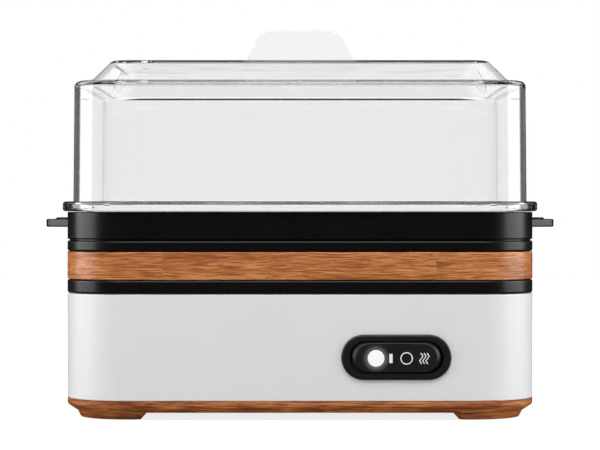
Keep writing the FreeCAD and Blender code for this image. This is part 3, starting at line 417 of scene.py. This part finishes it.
def wood_look(name, vector, across, dark, middle, light, roughness):
    """Wood-look print: long level grain lines, thin dark streaks and broad tone bands.

    The vector is a function that gives the finish its place, and the lines are stacked along the axis
    across.
    """
    finish = Finish(name)
    place = vector(finish)
    wander = finish.span(finish.noise(22.0, 2.0, vector=place), 0, 1, -0.0008, 0.0008)
    push = finish.add("ShaderNodeCombineXYZ", {across: wander}).outputs[0]
    grained = finish.add("ShaderNodeVectorMath", {0: place, 1: push}, operation="ADD").outputs[0]

    def level(run, rise):
        return tuple(rise if axis == across else run for axis in "XYZ")

    bands = finish.noise(1.0, 3.0, level(16.0, 260.0), vector=grained)
    lines = finish.noise(1.0, 4.0, level(90.0, 1700.0), 0.6, vector=grained)
    streaks = finish.noise(1.0, 3.0, level(120.0, 2100.0), 0.65, vector=grained)
    mixed = finish.reckon("ADD", lines, finish.span(bands, 0, 1, -0.20, 0.20))
    tone = finish.ramp(mixed, (0.36, dark), (0.48, middle), (0.63, light))
    finish.feed("Base Color", finish.tinted(finish.span(streaks, 0.54, 0.62, 0.0, 0.8), tone, dark))
    finish.feed("Roughness", finish.span(lines, 0.3, 0.7, roughness + 0.07, roughness - 0.07))
    fine = finish.bump(streaks, 0.00002)
    finish.feed("Normal", finish.bump(lines, 0.00003, fine))
    return finish.material


def band_place(finish):
    """The band's unrolled surface: each stave starts its grain at another place."""
    unrolled = finish.add("ShaderNodeUVMap", uv_map="wrap").outputs[0]
    run = finish.add("ShaderNodeSeparateXYZ", {0: unrolled}).outputs[0]
    counted = finish.reckon("ADD", finish.reckon("DIVIDE", run, STAVE), FIRST_STAVE / STAVE)
    stave = finish.add("ShaderNodeMath", {0: counted}, operation="FLOOR").outputs[0]
    jump = finish.add("ShaderNodeTexWhiteNoise", {"W": stave}, noise_dimensions="1D").outputs["Color"]
    offset = finish.add("ShaderNodeVectorMath", {0: jump, 1: (3.0, 0.7, 3.0)}, operation="MULTIPLY")
    return finish.add("ShaderNodeVectorMath", {0: unrolled, 1: offset.outputs[0]}, operation="ADD").outputs[0]


def object_place(finish):
    """The piece's own coordinates."""
    return finish.place


def brushed(name, colour, roughness, stretch, depth=0.00001):
    """Metal with fine drawn lines."""
    finish = Finish(name, Metallic=1.0)
    lines = finish.noise(1.0, 4.0, stretch)
    cloud = finish.noise(30.0, 3.0)
    finish.feed("Base Color", finish.ramp(cloud, (0.3, shade(colour, 0.9)), (0.7, shade(colour, 1.08))))
    finish.feed("Roughness", finish.span(lines, 0.3, 0.7, roughness - 0.08, roughness + 0.1))
    finish.feed("Normal", finish.bump(lines, depth))
    return finish.material


def clear_plastic(name):
    """Clear moulded plastic with the faint waves of a moulding."""
    finish = Finish(name, Base_Color=(0.98, 0.98, 0.98, 1), Roughness=0.015, IOR=1.57,
                    Transmission_Weight=1.0)
    finish.feed("Normal", finish.bump(finish.noise(24.0, 1.0), 0.00004))
    return finish.material


def glowing(name, colour, strength):
    """A lit diffusing lens: fine dimples and a slightly uneven light."""
    finish = Finish(name, Roughness=0.35, Emission_Strength=strength)
    finish.feed("Base Color", finish.ramp(finish.noise(900.0), (0.3, shade(colour, 0.96)), (0.7, colour)))
    finish.feed("Emission Color", finish.ramp(finish.noise(300.0), (0.3, shade(colour, 0.97)), (0.7, colour)))
    finish.feed("Normal", finish.bump(finish.noise(2500.0), 0.00002))
    return finish.material


def with_painted_lamp_glow(name, colour, roughness, lamp):
    """Moulded plastic with a painted glow: emission painted on the rocker round its lamp, in place of the
    lamp's light falling on it.
    """
    material = moulded(name, colour, roughness, 2200.0, 0.00003, 0.04)
    nodes = Nodes(material.node_tree)
    shader = material.node_tree.nodes["Principled BSDF"]
    place = nodes.add("ShaderNodeTexCoord").outputs["Object"]
    away = nodes.add("ShaderNodeVectorMath", {0: place, 1: lamp}, operation="DISTANCE").outputs["Value"]
    # painted light: emission painted on the face, fading out from the lens, stands in for the lamp's light on
    # the rocker
    painted_glow = nodes.span(away, PAINTED_GLOW_START, PAINTED_GLOW_END, PAINTED_GLOW, 0.0, interpolation_type="SMOOTHERSTEP")
    nodes.tree.links.new(painted_glow, shader.inputs["Emission Strength"])
    shader.inputs["Emission Color"].default_value = (1, 1, 1, 1)
    return material


FINISHES = {}                # filled by the first call


def finishes():
    """Every finish, by the slot of the record that it belongs to."""
    if FINISHES:
        return FINISHES
    colours = bpy.context.scene.egg_cooker_colours
    FINISHES.update({
        "white_plastic": moulded("white_shell", colours.white, 0.30, 1300.0, 0.000006, 0.02, 0.01, IOR=1.46),
        "black_plastic": moulded("black_trim", colours.black, 0.29, 1500.0, 0.000008, 0.04, IOR=1.46),
        "rocker_plastic": with_painted_lamp_glow("black_rocker", colours.switch_black, 0.40, middle_of("indicator_lens")),
        "clear_plastic": clear_plastic("clear_lid"),
        "lens_plastic": glowing("lamp_lens", colours.print_white, 0.22),
        "wood_band": wood_look("band_wood", band_place, "Y", colours.band_dark, colours.band_middle,
                               colours.band_light, 0.30),
        "wood_base": wood_look("base_wood", object_place, "Z", colours.base_dark, colours.base_middle,
                               colours.base_light, 0.27),
        "inner_plastic": moulded("cream_inner", (0.62, 0.58, 0.50), 0.45),
        "tray_steel": brushed("tray_steel", (0.62, 0.61, 0.60), 0.28, (40.0, 900.0, 900.0)),
        "silicone": moulded("soft_pad", (0.10, 0.10, 0.105), 0.62, 900.0, 0.00003, 0.06),
        "aluminium": brushed("cast_aluminium", (0.74, 0.75, 0.77), 0.42, (700.0, 700.0, 700.0), 0.00004),
        "element_steel": brushed("element_steel", (0.46, 0.45, 0.43), 0.34, (900.0, 900.0, 60.0)),
        "ceramic": moulded("ceramic", (0.72, 0.70, 0.64), 0.55, 700.0, 0.00003, 0.08),
        "plated_steel": brushed("plated_steel", (0.66, 0.66, 0.68), 0.24, (600.0, 600.0, 1200.0)),
        "brass": brushed("brass", (0.80, 0.58, 0.25), 0.28, (900.0, 120.0, 900.0)),
        "board_laminate": moulded("board_laminate", (0.055, 0.16, 0.06), 0.35, 2600.0, 0.00001),
        "board_parts": moulded("board_parts", (0.03, 0.03, 0.032), 0.40),
        "lamp_glass": glowing("lamp_glass", (1.0, 0.93, 0.84), 0.4),
        "lead_brown": moulded("lead_brown", (0.13, 0.05, 0.02), 0.42, 500.0, 0.00002),
        "lead_white": moulded("lead_white", (0.70, 0.69, 0.66), 0.45, 500.0, 0.00002),
        "lead_blue": moulded("lead_blue", (0.03, 0.13, 0.42), 0.42, 500.0, 0.00002),
        "lead_green": moulded("lead_green", (0.10, 0.36, 0.05), 0.42, 500.0, 0.00002),
    })
    return FINISHES


# ---- pieces -----------------------------------------------------------------------------------------
def sweep(name, section_corners, body, material):
    """A ring round the body from its section's corners: (in from the outline, height, edge radius)."""
    section = rounded([(-inwards, -z, edge) for inwards, z, edge in section_corners])
    profile = polyline(name + "_section", section, True)
    piece = sweep_tree().grow(name, Section=profile, Width=2 * body.half_width, Depth=2 * body.half_depth,
                              Corner=body.corner, Steps=body.corner_steps, Material=material)
    bpy.data.objects.remove(profile)
    outwards(piece)
    straight = 4 * (body.half_width + body.half_depth - 2 * body.corner)
    unroll(piece, straight + 2 * math.pi * body.corner)
    return piece


class EGGCOOKER_OT_packed_finishes(bpy.types.Operator):
    """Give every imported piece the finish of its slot"""
    bl_idname = "egg_cooker.packed_finishes"
    bl_label = "Packed Pieces"

    def execute(self, context):
        made = finishes()
        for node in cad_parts.values():
            for material_slot in node.material_slots:
                material_slot.material = made[material_slot.material.name.split(".")[0]]
        # the bezel shares the trim's slot, but is greyer and duller
        bezel = moulded("black_bezel", context.scene.egg_cooker_colours.switch_black, 0.36, 1800.0, 0.00001)
        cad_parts["switch_bezel"].material_slots[0].material = bezel
        return {"FINISHED"}


class EGGCOOKER_OT_wood_band(bpy.types.Operator):
    """Sweep the wood-look band round the body"""
    bl_idname = "egg_cooker.wood_band"
    bl_label = "Wood Band"

    def execute(self, context):
        body = context.scene.egg_cooker_body
        bottom, top = low("wood_band").z, high("wood_band").z
        edge, wall = body.band_round, body.band_wall
        corners = [(0, bottom, edge), (0, top, edge), (wall, top, edge), (wall, bottom, edge)]
        band = sweep("wood_band_wrap", corners, body, finishes()["wood_band"])
        finish_piece(band, "base", "wood_band", "wood_band")
        return {"FINISHED"}


class EGGCOOKER_OT_trim_rings(bpy.types.Operator):
    """Sweep the two black trim rings round the body"""
    bl_idname = "egg_cooker.trim_rings"
    bl_label = "Trim Rings"

    def execute(self, context):
        body = context.scene.egg_cooker_body
        edge, reach = body.ring_round, body.ring_reach
        spigot = body.band_wall + SPIGOT_GAP
        for node, below in (("lower_trim_ring", "housing"), ("upper_trim_ring", "wood_band")):
            bottom, top = high(below).z + RING_GAP, high(node).z
            corners = [(0, bottom, edge), (0, top, edge), (reach, top, edge / 2),
                       (reach, low(node).z, edge / 2), (spigot, low(node).z, edge / 2),
                       (spigot, bottom, edge / 4)]
            ring = sweep(node + "_band", corners, body, finishes()["black_plastic"])
            finish_piece(ring, "base", "black_plastic", node)
        return {"FINISHED"}


class EGGCOOKER_OT_switch_marks(bpy.types.Operator):
    """Print the bar, the ring and the heat waves on the rocker's face"""
    bl_idname = "egg_cooker.switch_marks"
    bl_label = "Switch Marks"

    def execute(self, context):
        switch = context.scene.egg_cooker_switch
        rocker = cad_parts["switch_rocker"]
        middle = Vector((middle_of("switch_bezel").x, 0, middle_of("indicator_lens").z))
        face = BVHTree.FromPolygons([v.co for v in rocker.data.vertices],
                                    [p.vertices for p in rocker.data.polygons])
        half = switch.bar_height / 2
        # points along the bar, so that it follows the face
        bar = [(0, -half + step * half / 3) for step in range(7)]
        around = [step / 48 * 2 * math.pi for step in range(48)]
        ring = [(switch.ring_radius * math.cos(a), switch.ring_radius * math.sin(a)) for a in around]
        wave = [(right * MM, up * MM) for right, up in WAVE]
        shapes = {
            "mark_bar": (bar, False, 1, switch.bar_width, BAR_PLACE),
            "mark_ring": (ring, True, 1, switch.stroke, RING_PLACE),
            "mark_heat": (wave, False, switch.wave_count, switch.stroke, HEAT_PLACE - switch.wave_pitch),
        }
        white = context.scene.egg_cooker_colours.print_white
        printed = moulded("white_print", white, 0.5, 2600.0, 0.000008)
        tree = marks_tree()
        for name, (points, closed, count, stroke, right) in shapes.items():
            path = polyline(name + "_path", points, closed)
            mark = tree.grow(name, Path=path, Count=count, Pitch=(switch.wave_pitch, 0, 0), Stroke=stroke,
                             Thickness=switch.print_thickness, Material=printed)
            bpy.data.objects.remove(path)
            for vertex in mark.data.vertices:
                x, z, proud = middle.x + right + vertex.co.x, middle.z + vertex.co.y, vertex.co.z
                hit = face.ray_cast(Vector((x, -1, z)), Vector((0, 1, 0)))[0]
                vertex.co = (x, hit.y - proud, z)
            outwards(mark)
            finish_piece(mark, "rocker", "lens_plastic")
        return {"FINISHED"}


def emitting(name, strength):
    """A plain white light-giving surface."""
    material = bpy.data.materials.new(name)
    material.use_nodes = True
    nodes = Nodes(material.node_tree)
    material.node_tree.nodes.clear()
    light = nodes.add("ShaderNodeEmission", {"Color": (1, 1, 1, 1), "Strength": strength})
    nodes.add("ShaderNodeOutputMaterial", {"Surface": light.outputs[0]})
    return material


def floor_material():
    """A white table that looks evenly lit and hardly shows in the gloss of the pieces."""
    material = bpy.data.materials.new("pale_floor")
    material.use_nodes = True
    nodes = Nodes(material.node_tree)
    material.node_tree.nodes.clear()
    path = nodes.add("ShaderNodeLightPath").outputs
    seen = nodes.reckon("MAXIMUM", path["Is Camera Ray"], path["Is Transmission Ray"])
    lit = nodes.add("ShaderNodeBsdfDiffuse", {"Color": (0.5, 0.5, 0.5, 1)})
    white = nodes.add("ShaderNodeEmission", {"Strength": 0.82})
    bright = nodes.add("ShaderNodeAddShader", {0: lit.outputs[0], 1: white.outputs[0]})
    dull = nodes.span(path["Is Glossy Ray"], 0.0, 1.0, 0.60, 0.05)
    quiet = nodes.add("ShaderNodeBsdfDiffuse", {"Color": dull})
    both = nodes.add("ShaderNodeMixShader", {0: seen, 1: quiet.outputs[0], 2: bright.outputs[0]})
    nodes.add("ShaderNodeOutputMaterial", {"Surface": both.outputs[0]})
    return material


def flat_sheet(name, half_x, half_y, material):
    """A level rectangle that belongs to the stage."""
    mesh = bpy.data.meshes.new(name)
    corners = [(x * half_x, y * half_y, 0) for x, y in ((-1, -1), (1, -1), (1, 1), (-1, 1))]
    mesh.from_pydata(corners, [], [(0, 1, 2, 3)])
    mesh.materials.append(material)
    sheet = bpy.data.objects.new(name, mesh)
    bpy.context.scene.collection.objects.link(sheet)
    return sheet


def softbox(name, place, aim, size, power):
    """A softbox that is hidden from the camera and behind the clear plastic."""
    data = bpy.data.lights.new(name, "AREA")
    data.shape, data.size, data.size_y, data.energy = "RECTANGLE", size[0], size[1], power
    lamp = bpy.data.objects.new(name, data)
    bpy.context.scene.collection.objects.link(lamp)
    lamp.location = place
    lamp.rotation_euler = (Vector(aim) - Vector(place)).to_track_quat("-Z", "Y").to_euler()
    lamp.visible_camera = False
    lamp.visible_transmission = False


class EGGCOOKER_OT_studio(bpy.types.Operator):
    """Set up the floor, the backdrop, the softboxes and the camera"""
    bl_idname = "egg_cooker.studio"
    bl_label = "Studio"

    def execute(self, context):
        scene, studio = context.scene, context.scene.egg_cooker_studio
        lens = bpy.data.cameras.new("camera")
        lens.lens, lens.sensor_width, lens.shift_y = studio.lens, 36.0, studio.shift
        lens.clip_start, lens.clip_end = 0.05, 30.0
        camera = bpy.data.objects.new("camera", lens)
        scene.collection.objects.link(camera)
        camera.location = (0, -studio.camera_distance, studio.camera_height)
        camera.rotation_euler = (QUARTER_TURN, 0, 0)
        scene.camera = camera
        backdrop = flat_sheet("backdrop", 0.75, 1.1, emitting("backdrop_white", studio.backdrop))
        backdrop.parent = camera
        backdrop.location = (0, 0.55, -3.0)
        backdrop.visible_glossy = backdrop.visible_diffuse = False
        flat_sheet("floor", 4.0, 4.0, floor_material())
        middle = (0, 0, 0.08)
        softbox("key_softbox", (0, -0.95, 1.40), middle, (1.7, 1.0), studio.key_power)
        for side in (-1, 1):
            softbox("side_softbox", (side * 1.25, -0.13, 0.35), middle, (1.1, 0.9), studio.side_power)
        scene.world = bpy.data.worlds.new("dim_room")
        scene.world.use_nodes = True
        room = Nodes(scene.world.node_tree)
        background = room.tree.nodes["Background"]
        way = room.add("ShaderNodeTexCoord").outputs["Generated"]
        up = room.add("ShaderNodeSeparateXYZ", {0: way}).outputs[2]
        rising = room.span(up, 0.15, 0.9, studio.room, studio.ceiling)
        above = room.span(up, 0.1, 0.5, studio.through, studio.overhead)
        through = room.add("ShaderNodeLightPath").outputs["Is Transmission Ray"]
        strength = room.reckon("MAXIMUM", rising, room.reckon("MULTIPLY", through, above))
        room.tree.links.new(strength, background.inputs["Strength"])
        background.inputs["Color"].default_value = (1, 1, 1, 1)
        scene.view_settings.view_transform = "Standard"
        # light goes back and forth many times inside the lid's folded edges
        scene.cycles.max_bounces, scene.cycles.transmission_bounces, scene.cycles.glossy_bounces = 32, 24, 16
        return {"FINISHED"}


class EGGCOOKER_PT_panel(bpy.types.Panel):
    """Lists the pieces of the egg cooker"""
    bl_idname = "EGGCOOKER_PT_panel"
    bl_label = "Egg Cooker"
    bl_space_type = "VIEW_3D"
    bl_region_type = "UI"
    bl_category = "Egg Cooker"

    def draw(self, context):
        for operator in OPERATORS:
            self.layout.operator(operator.bl_idname)
        for group in GROUPS:
            box = self.layout.box()
            values = getattr(context.scene, group)
            for name in GROUPS[group].__annotations__:
                box.prop(values, name)


GROUPS = {
    "egg_cooker_body": EggCookerBody,
    "egg_cooker_switch": EggCookerSwitch,
    "egg_cooker_colours": EggCookerColours,
    "egg_cooker_studio": EggCookerStudio,
}
OPERATORS = [
    EGGCOOKER_OT_packed_finishes,
    EGGCOOKER_OT_wood_band,
    EGGCOOKER_OT_trim_rings,
    EGGCOOKER_OT_switch_marks,
    EGGCOOKER_OT_studio,
]


def register():
    for made in (*GROUPS.values(), *OPERATORS, EGGCOOKER_PT_panel):
        bpy.utils.register_class(made)
    for name, group in GROUPS.items():
        setattr(bpy.types.Scene, name, PointerProperty(type=group))


def unregister():
    for name in GROUPS:
        delattr(bpy.types.Scene, name)
    for made in (EGGCOOKER_PT_panel, *reversed(OPERATORS), *GROUPS.values()):
        bpy.utils.unregister_class(made)


def main():
    """Builds every piece and the studio."""
    register()
    bpy.ops.egg_cooker.packed_finishes()
    bpy.ops.egg_cooker.wood_band()
    bpy.ops.egg_cooker.trim_rings()
    bpy.ops.egg_cooker.switch_marks()
    bpy.ops.egg_cooker.studio()


if __name__ == "__main__":
    main()
